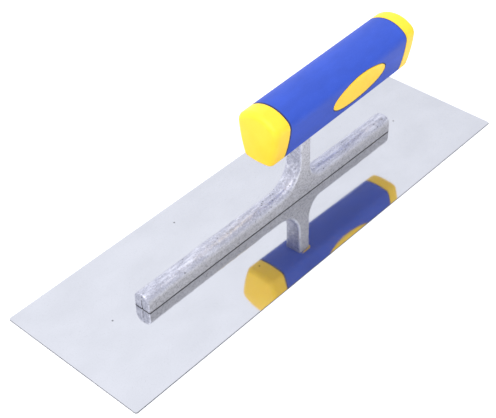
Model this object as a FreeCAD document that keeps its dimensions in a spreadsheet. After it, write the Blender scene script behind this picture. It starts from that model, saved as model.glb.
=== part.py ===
import FreeCAD, Part

import math
import os

import Sketcher

# A steel finishing trowel: a thin polished blade riveted to an aluminium
# casting, whose single post carries a two-colour moulded handle.
# Origin: the middle of the blade's working face.  +X runs along the blade
# towards the end that the handle reaches over, +Z is up, lengths are in mm.

os.makedirs("parts", exist_ok=True)
doc = FreeCAD.newDocument("finishing_trowel")
Vector = FreeCAD.Vector

# ---------------------------------------------------------------- sizes
SIZES = {
    # blade
    "blade_length": 320, "blade_width": 100, "blade_gauge": 0.7, "blade_corner": 1.2,
    # rivets through the blade into the casting
    "rivet_count": 8, "rivet_first_x": -94, "rivet_pitch": 27.5, "rivet_head": 2.8, "rivet_shank": 1.6,
    "rivet_head_depth": 0.55, "rivet_length": 6.5, "rivet_gap": 0.05,
    # casting: bar, post and tang
    "bar_front": 107, "bar_rear": 111.7, "bar_width": 11.8, "bar_height": 11,
    "bar_edge_round": 5, "bar_front_round": 0.9, "bar_rear_round": 3,
    "post_x": 25.8, "post_length": 9.8, "post_edge_round": 1.5, "post_top": 51.2,
    "web_front_round": 18, "web_rear_round": 11,
    "tang_length": 8, "tang_width": 7.6, "tang_top": 69.5, "tang_root": 1, "screw_z": 62,
    # handle stations along X, and the section at each: half width, shoulder centre's height, underside's height
    "handle_front": -12.3, "grip_front": 0.5, "handle_middle": 55, "grip_rear": 109.4, "handle_rear": 120.2,
    "half_width_front": 15.1, "half_width_grip_front": 15.3, "half_width_middle": 15.5,
    "half_width_grip_rear": 14.7, "half_width_rear": 14.5,
    "shoulder_z_front": 68.8, "shoulder_z_grip_front": 69.1, "shoulder_z_middle": 70.9,
    "shoulder_z_grip_rear": 74, "shoulder_z_rear": 74.5,
    "underside_z_front": 44.6, "underside_z_grip_front": 45.3, "underside_z_middle": 47.4,
    "underside_z_grip_rear": 48.3, "underside_z_rear": 48.4,
    # handle section: the same at every station
    "shoulder_round": 6.3, "shoulder_end_angle": 38, "shoulder_start_angle": 7,
    "corner_round": 4.2, "corner_in": 8.2, "corner_up": 4.6, "corner_end_angle": 22, "corner_start_angle": 10,
    "side_bulge": 0.6, "cap_edge_round": 3.8, "outer_inset": 0, "handle_top": 85, "clearing": 5,
    # handle shells
    "grip_wall": 3, "bore_radius": 8, "bore_z": 62, "front_bore_depth": 14, "rear_bore_start": 38,
    "cap_core_radius": 6, "cap_spigot": 4, "cap_spigot_gap": 0.1, "cap_wall": 3.5,
    "cap_overlap": 1, "cap_hollow": 30,
    # yellow pads of the core that show through the grip's side windows
    "pad_x": 64.6, "pad_z": 63.6, "pad_half_length": 24.6, "pad_half_height": 9.4, "pad_tilt": 3.8, "pad_depth": 7,
    # collar of the core around the post
    "collar_wall": 1, "collar_low": 46, "collar_height": 6, "socket_gap": 0.1,
    # screw and washer that hold the handle on the tang
    "screw_radius": 3, "screw_gap": 0.05, "screw_end_gap": 1, "screw_head_radius": 5.5, "screw_head": 4, "screw_tip_x": 29,
    "screw_socket": 2.3, "screw_socket_depth": 2.2, "washer_radius": 6.2, "washer_gauge": 1.2,
}

sizes = doc.addObject("Spreadsheet::Sheet", "Sizes")
for row, (name, value) in enumerate(SIZES.items(), start=1):
    sizes.set(f"A{row}", name)
    sizes.set(f"B{row}", str(value))
    sizes.setAlias(f"B{row}", name)
doc.recompute()


def size(name):
    """The number in the sheet's cell of that name."""
    return float(sizes.get(name))


# ---------------------------------------------------------------- helpers
TOUCHING = 0.01  # edges and planes nearer than this, in mm, are taken as meeting


def bind(thing, **expressions):
    """Ties properties of an object to expressions; a double underscore in a key stands for a dot."""
    for key, expression in expressions.items():
        thing.setExpression(key.replace("__", "."), expression)
    return thing


def add(kind, name, **expressions):
    """A new document object with its sizes bound to the sheet."""
    return bind(doc.addObject(kind, name), **expressions)


def boolean(kind, name, base, tool):
    """Part::Cut or Part::Common of two objects."""
    result = doc.addObject(kind, name)
    result.Base = base
    result.Tool = tool
    result.Refine = True
    return result


def fuse(name, shapes):
    """Several objects joined into one solid."""
    result = doc.addObject("Part::MultiFuse", name)
    result.Shapes = shapes
    result.Refine = True
    return result


def box(name, x, y, z, length, width, height):
    """A box by its low corner and its three sides, each an expression."""
    return add("Part::Box", name, Length=length, Width=width, Height=height,
               Placement__Base__x=x, Placement__Base__y=y, Placement__Base__z=z)


def rod_along_x(name, x, z, radius, length):
    """A cylinder that starts at x and runs towards +X."""
    rod = add("Part::Cylinder", name, Radius=radius, Height=length)
    rod.Placement.Rotation = FreeCAD.Rotation(Vector(0, 1, 0), 90)
    return bind(rod, Placement__Base__x=x, Placement__Base__z=z)


def dimension(sketch, kind, first, second, name, expression):
    """A named distance between two (geometry, point) pairs, driven by an expression."""
    gap = sketch.getPoint(*second) - sketch.getPoint(*first)
    drawn = gap.x if kind == "DistanceX" else gap.y
    at = sketch.addConstraint(Sketcher.Constraint(kind, *first, *second, drawn))
    sketch.renameConstraint(at, name)
    sketch.setExpression(f".Constraints.{name}", expression)


def radius(sketch, geometry, name, expression):
    """A named radius driven by an expression."""
    at = sketch.addConstraint(Sketcher.Constraint("Radius", geometry, sketch.Geometry[geometry].Radius))
    sketch.renameConstraint(at, name)
    sketch.setExpression(f".Constraints.{name}", expression)


ORIGIN = (-1, 1)


def body_sketch(body, name, role):
    """A sketch on one of its body's own origin planes."""
    plane = next(f for f in body.Origin.OriginFeatures if f.Role == role)
    sketch = body.newObject("Sketcher::SketchObject", name)
    sketch.AttachmentSupport = (plane, [""])
    sketch.MapMode = "FlatFace"
    return sketch


# ---------------------------------------------------------------- blade
def make_blade():
    """Hardened strip with near-sharp corners and a row of countersunk rivet holes on its middle line."""
    body = doc.addObject("PartDesign::Body", "blade")
    outline = body_sketch(body, "blade_outline", "XY_Plane")
    x, y = size("blade_length") / 2, size("blade_width") / 2
    corners = [Vector(-x, -y, 0), Vector(x, -y, 0), Vector(x, y, 0), Vector(-x, y, 0)]
    for i in range(4):
        outline.addGeometry(Part.LineSegment(corners[i], corners[(i + 1) % 4]))
    for i in range(4):
        outline.addConstraint(Sketcher.Constraint("Coincident", i, 2, (i + 1) % 4, 1))
        outline.addConstraint(Sketcher.Constraint("Vertical" if i % 2 else "Horizontal", i))
    outline.addConstraint(Sketcher.Constraint("Symmetric", 0, 1, 2, 1, *ORIGIN))
    dimension(outline, "DistanceX", (0, 1), (0, 2), "length", "Sizes.blade_length")
    dimension(outline, "DistanceY", (1, 1), (1, 2), "width", "Sizes.blade_width")
    sheet = body.newObject("PartDesign::Pad", "blade_sheet")
    sheet.Profile = outline
    bind(sheet, Length="Sizes.blade_gauge")
    doc.recompute()
    upright = [f"Edge{i}" for i, e in enumerate(sheet.Shape.Edges, 1) if e.BoundBox.ZLength > size("blade_gauge") / 2]
    corner = body.newObject("PartDesign::Fillet", "blade_corners")
    corner.Base = (sheet, upright)
    bind(corner, Radius="Sizes.blade_corner")
    doc.recompute()
    before = corner.Shape.Volume

    sink = body.newObject("PartDesign::SubtractiveCone", "rivet_countersink")
    bind(sink, Radius1="Sizes.rivet_head + Sizes.rivet_gap", Radius2="Sizes.rivet_shank + Sizes.rivet_gap",
         Height="Sizes.rivet_head_depth", Placement__Base__x="Sizes.rivet_first_x")
    hole = body.newObject("PartDesign::SubtractiveCylinder", "rivet_hole")
    bind(hole, Radius="Sizes.rivet_shank + Sizes.rivet_gap", Height="Sizes.blade_gauge",
         Placement__Base__x="Sizes.rivet_first_x")
    doc.recompute()
    along = next(f for f in body.Origin.OriginFeatures if f.Role == "X_Axis")
    holes = body.newObject("PartDesign::LinearPattern", "rivet_holes")
    holes.Originals = [sink, hole]
    holes.Direction = (along, [""])
    bind(holes, Length="Sizes.rivet_pitch * (Sizes.rivet_count - 1)", Occurrences="Sizes.rivet_count")
    body.Tip = holes
    doc.recompute()
    assert holes.Shape.Volume < before - size("rivet_count"), "the rivet holes cut nothing"
    return body


# ---------------------------------------------------------------- rivets
def rivet_x(index):
    """Expression for a rivet's place along the bar, counted from 0."""
    return f"Sizes.rivet_first_x + {index} * Sizes.rivet_pitch"


def make_rivet(index):
    """Countersunk steel rivet: its head is ground flush with the working face, its shank fills the casting's hole."""
    number = index + 1
    head = add("Part::Cone", f"rivet_head_{number}", Radius1="Sizes.rivet_head", Radius2="Sizes.rivet_shank",
               Height="Sizes.rivet_head_depth", Placement__Base__x=rivet_x(index))
    shank = add("Part::Cylinder", f"rivet_shank_{number}", Radius="Sizes.rivet_shank",
                Height="Sizes.rivet_length - Sizes.rivet_head_depth",
                Placement__Base__x=rivet_x(index), Placement__Base__z="Sizes.rivet_head_depth")
    return fuse(f"blade_rivet_{number}", [head, shank])


# ---------------------------------------------------------------- casting
def make_casting_profile():
    """Side view of bar and post as one outline, with a concave round on each side of the post's foot."""
    body = doc.addObject("PartDesign::Body", "casting_profile")
    sketch = body_sketch(body, "casting_side", "XZ_Plane")
    low, high, top = size("blade_gauge"), size("blade_gauge") + size("bar_height"), size("post_top")
    front, rear = -size("bar_front"), size("bar_rear")
    post_front = size("post_x") - size("post_length") / 2
    post_rear = size("post_x") + size("post_length") / 2
    round_front, round_rear = size("web_front_round"), size("web_rear_round")

    def line(x1, z1, x2, z2):
        sketch.addGeometry(Part.LineSegment(Vector(x1, z1, 0), Vector(x2, z2, 0)))

    def arc(x, z, r, start, end):
        circle = Part.Circle(Vector(x, z, 0), Vector(0, 0, 1), r)
        sketch.addGeometry(Part.ArcOfCircle(circle, math.radians(start), math.radians(end)))

    line(front, low, rear, low)                                         # 0 underside
    line(rear, low, rear, high)                                         # 1 rear end
    line(rear, high, post_rear + round_rear, high)                      # 2 bar top, rear
    arc(post_rear + round_rear, high + round_rear, round_rear, 180, 270)        # 3 rear round
    line(post_rear, high + round_rear, post_rear, top)                  # 4 post, rear
    line(post_rear, top, post_front, top)                               # 5 post top
    line(post_front, top, post_front, high + round_front)               # 6 post, front
    arc(post_front - round_front, high + round_front, round_front, 270, 360)    # 7 front round
    line(post_front - round_front, high, front, high)                   # 8 bar top, front
    line(front, high, front, low)                                       # 9 front end
    for level in (0, 2, 5, 8):
        sketch.addConstraint(Sketcher.Constraint("Horizontal", level))
    for upright in (1, 4, 6, 9):
        sketch.addConstraint(Sketcher.Constraint("Vertical", upright))
    for first, second in ((0, 1), (1, 2), (4, 5), (5, 6), (8, 9), (9, 0)):
        sketch.addConstraint(Sketcher.Constraint("Coincident", first, 2, second, 1))
    # an arc runs anticlockwise, so the outline meets its second point first
    for first, first_point, second, second_point in ((2, 2, 3, 2), (3, 1, 4, 1), (6, 2, 7, 2), (7, 1, 8, 1)):
        sketch.addConstraint(Sketcher.Constraint("Tangent", first, first_point, second, second_point))
    dimension(sketch, "DistanceX", (0, 1), ORIGIN, "bar_front", "Sizes.bar_front")
    dimension(sketch, "DistanceX", ORIGIN, (0, 2), "bar_rear", "Sizes.bar_rear")
    dimension(sketch, "DistanceY", ORIGIN, (0, 1), "bar_foot", "Sizes.blade_gauge")
    dimension(sketch, "DistanceY", (1, 1), (1, 2), "bar_height", "Sizes.bar_height")
    dimension(sketch, "DistanceY", (9, 2), (9, 1), "front_height", "Sizes.bar_height")
    dimension(sketch, "DistanceX", ORIGIN, (5, 1), "post_rear", "Sizes.post_x + Sizes.post_length / 2")
    dimension(sketch, "DistanceX", (5, 2), (5, 1), "post_length", "Sizes.post_length")
    dimension(sketch, "DistanceY", ORIGIN, (5, 1), "post_top", "Sizes.post_top")
    radius(sketch, 3, "rear_round", "Sizes.web_rear_round")
    radius(sketch, 7, "front_round", "Sizes.web_front_round")
    pad = body.newObject("PartDesign::Pad", "casting_thickness")
    pad.Profile = sketch
    pad.SideType = "Symmetric"
    bind(pad, Length="Sizes.bar_width")
    doc.recompute()
    return body


def long_edge_rounds(shape):
    """Edge numbers with a radius at each end: full on the bar, easing to small up the post's corners."""
    bar_top = size("blade_gauge") + size("bar_height")
    bar, post = size("bar_edge_round"), size("post_edge_round")
    rounds = []
    for number, edge in enumerate(shape.Edges, 1):
        reach = edge.BoundBox
        across = reach.YLength > TOUCHING
        along_post_top = reach.ZMin > size("post_top") - TOUCHING
        if across or along_post_top or reach.ZMin < bar_top - TOUCHING:
            continue
        ends = [edge.valueAt(p).z for p in edge.ParameterRange]
        rounds.append((number, *[bar if z < bar_top + TOUCHING else post for z in ends]))
    return rounds


def end_edge_rounds(shape):
    """The arched rim of each end face of the bar."""
    rounds = []
    for number, edge in enumerate(shape.Edges, 1):
        reach = edge.BoundBox
        if reach.XLength > TOUCHING or reach.ZMax < size("blade_gauge") + TOUCHING:
            continue
        if abs(reach.XMin + size("bar_front")) < TOUCHING:
            rounds.append((number, size("bar_front_round"), size("bar_front_round")))
        elif abs(reach.XMax - size("bar_rear")) < TOUCHING:
            rounds.append((number, size("bar_rear_round"), size("bar_rear_round")))
    return rounds


def make_casting():
    """Aluminium casting: a solid round-topped bar, a post with flat sides, and a tang inside the handle."""
    profile = make_casting_profile()
    long_edges = doc.addObject("Part::Fillet", "casting_long_rounds")
    long_edges.Base = profile
    long_edges.Edges = long_edge_rounds(profile.Shape)
    doc.recompute()
    ends = doc.addObject("Part::Fillet", "casting_end_rounds")
    ends.Base = long_edges
    ends.Edges = end_edge_rounds(long_edges.Shape)
    doc.recompute()
    tang = box("casting_tang", "Sizes.post_x - Sizes.tang_length / 2", "-Sizes.tang_width / 2",
               "Sizes.post_top - Sizes.tang_root", "Sizes.tang_length", "Sizes.tang_width",
               "Sizes.tang_top - Sizes.post_top + Sizes.tang_root")
    solid = fuse("casting_solid", [ends, tang])
    holes = [
        add("Part::Cylinder", f"casting_rivet_hole_{i + 1}", Radius="Sizes.rivet_shank + Sizes.rivet_gap",
            Height="Sizes.rivet_length + Sizes.rivet_gap", Placement__Base__x=rivet_x(i))
        for i in range(int(size("rivet_count")))
    ]
    thread = rod_along_x("tang_thread", "Sizes.post_x - Sizes.tang_length", "Sizes.screw_z",
                         "Sizes.screw_radius + Sizes.screw_gap", "2 * Sizes.tang_length")
    return boolean("Part::Cut", "mounting_casting", solid, fuse("casting_holes", holes + [thread]))


# ---------------------------------------------------------------- handle outline
def handle_section(name, station, inset):
    """One closed cross-section of the handle, made of eight arcs.

    A nearly flat underside, small lower corners, sides that lean outwards, full shoulders and a
    crowned top.  The cell named by inset moves the outline inwards, for the core inside the grip.
    """
    x, half_width, shoulder_z, underside_z = station
    sketch = doc.addObject("Sketcher::SketchObject", name)
    sketch.Placement = FreeCAD.Placement(
        Vector(size(x), 0, 0), FreeCAD.Rotation(Vector(0, 1, 0), Vector(0, 0, 1), Vector(1, 0, 0), "ZXY"))
    bind(sketch, Placement__Base__x=f"Sizes.{x}")

    w, step = size(half_width), size(inset)
    shoulder, corner = size("shoulder_round") - step, size("corner_round") - step
    middle_shoulder = (w - size("shoulder_round"), size(shoulder_z))
    middle_corner = (w - size("corner_in"), size(underside_z) + size("corner_up"))

    def on(centre, r, degrees):
        return (centre[0] + r * math.cos(math.radians(degrees)), centre[1] + r * math.sin(math.radians(degrees)))

    points = [
        on(middle_corner, corner, -90 + size("corner_start_angle")),
        on(middle_corner, corner, -size("corner_end_angle")),
        on(middle_shoulder, shoulder, -size("shoulder_start_angle")),
        on(middle_shoulder, shoulder, 90 - size("shoulder_end_angle")),
    ]
    chord = math.dist(points[1], points[2])
    side = chord ** 2 / (8 * size("side_bulge"))
    crown = points[3][0] / math.sin(math.radians(size("shoulder_end_angle")))
    floor = points[0][0] / math.sin(math.radians(size("corner_start_angle")))

    loop = points + [(-a, b) for a, b in reversed(points)]
    radii = [corner, side, shoulder, crown, shoulder, side, corner, floor]
    for i, r in enumerate(radii):
        a, b = Vector(*loop[i], 0), Vector(*loop[(i + 1) % 8], 0)
        chord_middle = (a + b) * 0.5
        outward = Vector((b - a).y, -(b - a).x, 0).normalize()
        sagitta = r - math.sqrt(r * r - ((b - a).Length / 2) ** 2)
        sketch.addGeometry(Part.Arc(a, chord_middle + outward * sagitta, b))
    for i in range(8):
        sketch.addConstraint(Sketcher.Constraint("Coincident", i, 2, (i + 1) % 8, 1))
    for i in range(4):
        sketch.addConstraint(Sketcher.Constraint("Symmetric", i, 1, 6 - i, 2, -2))

    arm = f"(Sizes.shoulder_round - Sizes.{inset})"
    foot = f"(Sizes.corner_round - Sizes.{inset})"
    shoulder_y = f"Sizes.{half_width} - Sizes.shoulder_round"
    corner_y = f"Sizes.{half_width} - Sizes.corner_in"
    corner_z = f"Sizes.{underside_z} + Sizes.corner_up"
    places = [
        (f"{corner_y} + {foot} * sin(Sizes.corner_start_angle * 1 deg)",
         f"{corner_z} - {foot} * cos(Sizes.corner_start_angle * 1 deg)"),
        (f"{corner_y} + {foot} * cos(Sizes.corner_end_angle * 1 deg)",
         f"{corner_z} - {foot} * sin(Sizes.corner_end_angle * 1 deg)"),
        (f"{shoulder_y} + {arm} * cos(Sizes.shoulder_start_angle * 1 deg)",
         f"Sizes.{shoulder_z} - {arm} * sin(Sizes.shoulder_start_angle * 1 deg)"),
        (f"{shoulder_y} + {arm} * sin(Sizes.shoulder_end_angle * 1 deg)",
         f"Sizes.{shoulder_z} + {arm} * cos(Sizes.shoulder_end_angle * 1 deg)"),
    ]
    for i, (across, up) in enumerate(places):
        dimension(sketch, "DistanceX", ORIGIN, (i, 1), f"across_{i}", across)
        dimension(sketch, "DistanceY", ORIGIN, (i, 1), f"up_{i}", up)
    for i in (0, 6):
        radius(sketch, i, f"corner_{i}", foot)
    for i in (2, 4):
        radius(sketch, i, f"shoulder_{i}", arm)
    rise = ".Constraints.up_2 - .Constraints.up_1"
    run = ".Constraints.across_2 - .Constraints.across_1"
    for i in (1, 5):
        radius(sketch, i, f"side_{i}", f"(({rise})^2 + ({run})^2) / (8 * Sizes.side_bulge * 1 mm)")
    radius(sketch, 3, "crown", ".Constraints.across_3 / sin(Sizes.shoulder_end_angle * 1 deg)")
    radius(sketch, 7, "floor", ".Constraints.across_0 / sin(Sizes.corner_start_angle * 1 deg)")
    return sketch


STATIONS = [
    ("handle_front", "half_width_front", "shoulder_z_front", "underside_z_front"),
    ("grip_front", "half_width_grip_front", "shoulder_z_grip_front", "underside_z_grip_front"),
    ("handle_middle", "half_width_middle", "shoulder_z_middle", "underside_z_middle"),
    ("grip_rear", "half_width_grip_rear", "shoulder_z_grip_rear", "underside_z_grip_rear"),
    ("handle_rear", "half_width_rear", "shoulder_z_rear", "underside_z_rear"),
]


def loft(name, sections):
    """A smooth solid through the sections."""
    result = doc.addObject("Part::Loft", name)
    result.Sections = sections
    result.Solid = True
    result.Ruled = False
    return result


def make_handle_form():
    """The handle's whole outer shape: caps and grip as one, with both ends rounded over."""
    sections = [handle_section(f"form_{station[0]}", station, "outer_inset") for station in STATIONS]
    raw = loft("handle_raw", sections)
    doc.recompute()
    ends = (size("handle_front"), size("handle_rear"))
    rim = size("cap_edge_round")
    rounds = [
        (number, rim, rim)
        for number, edge in enumerate(raw.Shape.Edges, 1)
        if edge.BoundBox.XLength < TOUCHING and min(abs(edge.BoundBox.XMin - end) for end in ends) < TOUCHING
    ]
    form = doc.addObject("Part::Fillet", "handle_form")
    form.Base = raw
    form.Edges = rounds
    doc.recompute()
    return form


def slab(name, start, end):
    """A block between two places along X that covers the handle's whole section, with clearing to spare."""
    return box(name, start, "-Sizes.half_width_middle - Sizes.clearing", "Sizes.underside_z_front - Sizes.clearing",
               f"({end}) - ({start})", "2 * (Sizes.half_width_middle + Sizes.clearing)",
               "Sizes.handle_top - Sizes.underside_z_front + 2 * Sizes.clearing")


# ---------------------------------------------------------------- handle caps
def make_cap(name, outer_slab, hollow_start, spigot_start):
    """Yellow end cap: a shell with a rounded end, hollow inside, whose spigot plugs the core's bore."""
    shell = boolean("Part::Common", f"{name}_shell", form, outer_slab)
    spigot = rod_along_x(f"{name}_spigot", spigot_start, "Sizes.bore_z",
                         "Sizes.bore_radius - Sizes.cap_spigot_gap", "Sizes.cap_spigot + Sizes.cap_overlap")
    hollow = rod_along_x(f"{name}_hollow", hollow_start, "Sizes.bore_z", "Sizes.cap_core_radius",
                         "Sizes.cap_hollow")
    return boolean("Part::Cut", name, fuse(f"{name}_solid", [shell, spigot]), hollow)


def make_front_cap():
    """The cap over the screw's bore, at the end that overhangs the blade's middle."""
    return make_cap("front_cap", slab("front_cap_slab", "Sizes.handle_front - Sizes.clearing", "Sizes.grip_front"),
                    "Sizes.handle_front + Sizes.cap_wall", "Sizes.grip_front - Sizes.cap_overlap")


def make_rear_cap():
    """The shorter cap at the handle's high end."""
    return make_cap("rear_cap", slab("rear_cap_slab", "Sizes.grip_rear", "Sizes.handle_rear + Sizes.clearing"),
                    "Sizes.handle_rear - Sizes.cap_wall - Sizes.cap_hollow",
                    "Sizes.grip_rear - Sizes.cap_spigot")


# ---------------------------------------------------------------- handle core
def make_pad_prism(name, side):
    """Oval block on one side of the handle, +1 or -1, that leans with the pad."""
    oval = add("Part::Ellipse", f"{name}_oval", MajorRadius="Sizes.pad_half_length",
               MinorRadius="Sizes.pad_half_height")
    oval.Placement.Rotation = FreeCAD.Rotation(Vector(1, 0, 0), 90)
    prism = doc.addObject("Part::Extrusion", name)
    prism.Base = oval
    prism.DirMode = "Custom"
    prism.Dir = Vector(0, side, 0)
    prism.Solid = True
    prism.Placement.Rotation = FreeCAD.Rotation(Vector(0, 1, 0), -size("pad_tilt"))
    return bind(prism, LengthFwd="Sizes.half_width_middle + Sizes.clearing - Sizes.pad_depth",
                Placement__Base__x="Sizes.pad_x",
                Placement__Base__y=f"{side} * Sizes.pad_depth", Placement__Base__z="Sizes.pad_z",
                Placement__Rotation__Angle="-Sizes.pad_tilt")


def post_sized_box(name, low, height, growth):
    """An upright block on the post's axis, larger than the post all round by the growth, with rounded corners."""
    plain = box(f"{name}_block", f"Sizes.post_x - Sizes.post_length / 2 - ({growth})",
                f"-Sizes.bar_width / 2 - ({growth})", low,
                f"Sizes.post_length + 2 * ({growth})", f"Sizes.bar_width + 2 * ({growth})", height)
    doc.recompute()
    corner = size("post_edge_round")
    upright = [(n, corner, corner) for n, e in enumerate(plain.Shape.Edges, 1)
               if e.BoundBox.XLength < TOUCHING and e.BoundBox.YLength < TOUCHING]
    block = doc.addObject("Part::Fillet", name)
    block.Base = plain
    block.Edges = upright
    return block


def make_core():
    """Hard yellow moulding inside the grip, seen only as two side ovals and a collar round the post.

    A closed bulkhead around the tang parts the short front bore, where the screw goes in, from the long rear bore.
    """
    sections = [handle_section(f"core_{station[0]}", station, "grip_wall") for station in STATIONS[1:4]]
    inner = loft("core_form", sections)
    collar = post_sized_box("core_collar", "Sizes.collar_low", "Sizes.collar_height", "Sizes.collar_wall")
    prisms = [make_pad_prism("pad_prism_left", 1), make_pad_prism("pad_prism_right", -1)]
    pads = [boolean("Part::Common", f"core_pad_{side}", form, prism)
            for side, prism in zip(("left", "right"), prisms)]
    solid = fuse("core_solid", [inner, collar] + pads)
    front_bore = rod_along_x("core_front_bore", "Sizes.grip_front - Sizes.clearing", "Sizes.bore_z",
                             "Sizes.bore_radius", "Sizes.front_bore_depth - Sizes.grip_front + Sizes.clearing")
    rear_bore = rod_along_x("core_rear_bore", "Sizes.rear_bore_start", "Sizes.bore_z", "Sizes.bore_radius",
                            "Sizes.grip_rear - Sizes.rear_bore_start + Sizes.clearing")
    socket = post_sized_box("core_socket", "Sizes.collar_low - Sizes.clearing",
                            "Sizes.post_top - Sizes.collar_low + Sizes.clearing", "Sizes.socket_gap")
    tang_hole = box("core_tang_hole", "Sizes.post_x - Sizes.tang_length / 2 - Sizes.socket_gap",
                    "-Sizes.tang_width / 2 - Sizes.socket_gap", "Sizes.collar_low",
                    "Sizes.tang_length + 2 * Sizes.socket_gap", "Sizes.tang_width + 2 * Sizes.socket_gap",
                    "Sizes.tang_top + Sizes.socket_gap - Sizes.collar_low")
    screw_hole = rod_along_x("core_screw_hole", "Sizes.front_bore_depth - Sizes.screw_end_gap", "Sizes.screw_z",
                             "Sizes.screw_radius + 2 * Sizes.socket_gap",
                             "Sizes.screw_tip_x - Sizes.front_bore_depth + 2 * Sizes.screw_end_gap")
    hollows = fuse("core_hollows", [front_bore, rear_bore, socket, tang_hole, screw_hole])
    return boolean("Part::Cut", "handle_core", solid, hollows), inner, prisms, collar


# ---------------------------------------------------------------- grip
def make_grip(inner, prisms, collar):
    """Soft blue sleeve moulded round the core, with an oval window on each side and a hole for the collar."""
    sleeve = boolean("Part::Common", "grip_sleeve", form, slab("grip_slab", "Sizes.grip_front", "Sizes.grip_rear"))
    return boolean("Part::Cut", "handle_grip", sleeve, fuse("grip_hollows", [inner, collar] + prisms))


# ---------------------------------------------------------------- handle screw
def make_screw():
    """Steel screw with a flat round head and a hexagon socket, from the front bore into the tang's thread."""
    seat = "Sizes.front_bore_depth - Sizes.washer_gauge"
    shank = rod_along_x("screw_shank", seat, "Sizes.screw_z", "Sizes.screw_radius",
                        f"Sizes.screw_tip_x - ({seat})")
    head = rod_along_x("screw_head", f"{seat} - Sizes.screw_head", "Sizes.screw_z", "Sizes.screw_head_radius",
                       "Sizes.screw_head")
    key = add("Part::Prism", "screw_key", Circumradius="Sizes.screw_socket", Height="Sizes.screw_socket_depth")
    key.Polygon = 6
    key.Placement.Rotation = FreeCAD.Rotation(Vector(0, 1, 0), 90)
    bind(key, Placement__Base__x=f"{seat} - Sizes.screw_head", Placement__Base__z="Sizes.screw_z")
    return boolean("Part::Cut", "handle_screw", fuse("screw_solid", [shank, head]), key)


def make_washer():
    """Flat steel washer between the screw's head and the core's bulkhead."""
    start = "Sizes.front_bore_depth - Sizes.washer_gauge"
    disc = rod_along_x("washer_disc", start, "Sizes.screw_z", "Sizes.washer_radius", "Sizes.washer_gauge")
    hole = rod_along_x("washer_hole", f"{start} - Sizes.washer_gauge", "Sizes.screw_z",
                       "Sizes.screw_radius + Sizes.socket_gap", "3 * Sizes.washer_gauge")
    return boolean("Part::Cut", "screw_washer", disc, hole)


# ---------------------------------------------------------------- the whole trowel
pieces = [make_blade(), make_casting()]
pieces += [make_rivet(i) for i in range(int(size("rivet_count")))]
form = make_handle_form()
core, core_form, pad_prisms, post_collar = make_core()
pieces += [core, make_grip(core_form, pad_prisms, post_collar), make_front_cap(), make_rear_cap()]
pieces += [make_screw(), make_washer()]
doc.recompute()

for thing in doc.Objects:
    if "Invalid" in thing.State or "Error" in thing.State:
        raise RuntimeError(f"{thing.Name} did not build: {thing.State}")
for piece in pieces:
    if piece.Shape.isNull() or not piece.Shape.isValid():
        raise RuntimeError(f"{piece.Label} has no valid shape")
for piece in pieces:
    piece.Shape.exportStep(f"parts/{piece.Label}.step")
    print(f"{piece.Label}: {piece.Shape.Volume:.0f} mm3, {len(piece.Shape.Solids)} solid")
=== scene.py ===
import math
from types import SimpleNamespace

import bmesh
import bpy
import numpy as np
from mathutils import Matrix, Vector


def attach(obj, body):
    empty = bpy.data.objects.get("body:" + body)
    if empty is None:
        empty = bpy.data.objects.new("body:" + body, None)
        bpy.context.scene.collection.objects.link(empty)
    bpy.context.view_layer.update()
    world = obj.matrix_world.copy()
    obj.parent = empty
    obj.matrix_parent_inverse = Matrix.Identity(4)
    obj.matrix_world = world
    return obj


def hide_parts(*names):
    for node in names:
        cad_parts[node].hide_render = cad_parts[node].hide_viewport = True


# A steel finishing trowel, in metres: +X along the blade towards the end that the handle
# reaches over, +Z up, and the origin in the middle of the blade's working face.
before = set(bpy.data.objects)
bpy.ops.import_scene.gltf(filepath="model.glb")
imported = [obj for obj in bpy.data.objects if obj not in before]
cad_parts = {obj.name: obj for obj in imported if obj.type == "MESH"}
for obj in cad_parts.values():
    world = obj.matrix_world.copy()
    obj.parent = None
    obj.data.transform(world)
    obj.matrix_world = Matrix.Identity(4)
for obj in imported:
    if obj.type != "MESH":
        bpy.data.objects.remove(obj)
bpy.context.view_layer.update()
MM = 0.001


# ------------------------------------------------------------------ blade
# The blade is cold-rolled spring steel strip, 0.7 mm thick, hardened and mirror-polished.
# Its four edges are ground square and stay duller than the faces.
def linear(hex_colour):
    """The linear RGBA of an sRGB hex colour: each channel through the sRGB curve."""
    channels = [int(hex_colour[i:i + 2], 16) / 255 for i in (1, 3, 5)]
    return [c / 12.92 if c <= 0.04045 else ((c + 0.055) / 1.055) ** 2.4 for c in channels] + [1.0]


def add_node(tree, kind, inputs=(), out=0, **settings):
    """Adds a node, sets its properties, gives each of its inputs, by name or by number, a value or
    a link, and returns one output. A colour mix has its colours at inputs 6 and 7 and output 2."""
    made = tree.nodes.new(kind)
    for name, value in settings.items():
        setattr(made, name, value)
    for key, value in dict(inputs).items():
        if isinstance(value, bpy.types.NodeSocket):
            tree.links.new(value, made.inputs[key])
        else:
            made.inputs[key].default_value = value
    return made.outputs[out]


def start_material(name, **sockets):
    """A material with one Principled shader, its uniform sockets set by plain names."""
    material = bpy.data.materials.new(name)
    material.use_nodes = True
    tree = material.node_tree
    shader = tree.nodes["Principled BSDF"]
    for key, value in sockets.items():
        shader.inputs[key.replace("_", " ").title().replace("Ior", "IOR")].default_value = value
    place = add_node(tree, "ShaderNodeTexCoord", out="Object")
    return material, tree, shader, place


def wire(tree, shader, **links):
    """Links sockets of the Principled shader by plain names."""
    for key, socket in links.items():
        tree.links.new(socket, shader.inputs[key.replace("_", " ").title()])


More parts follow.
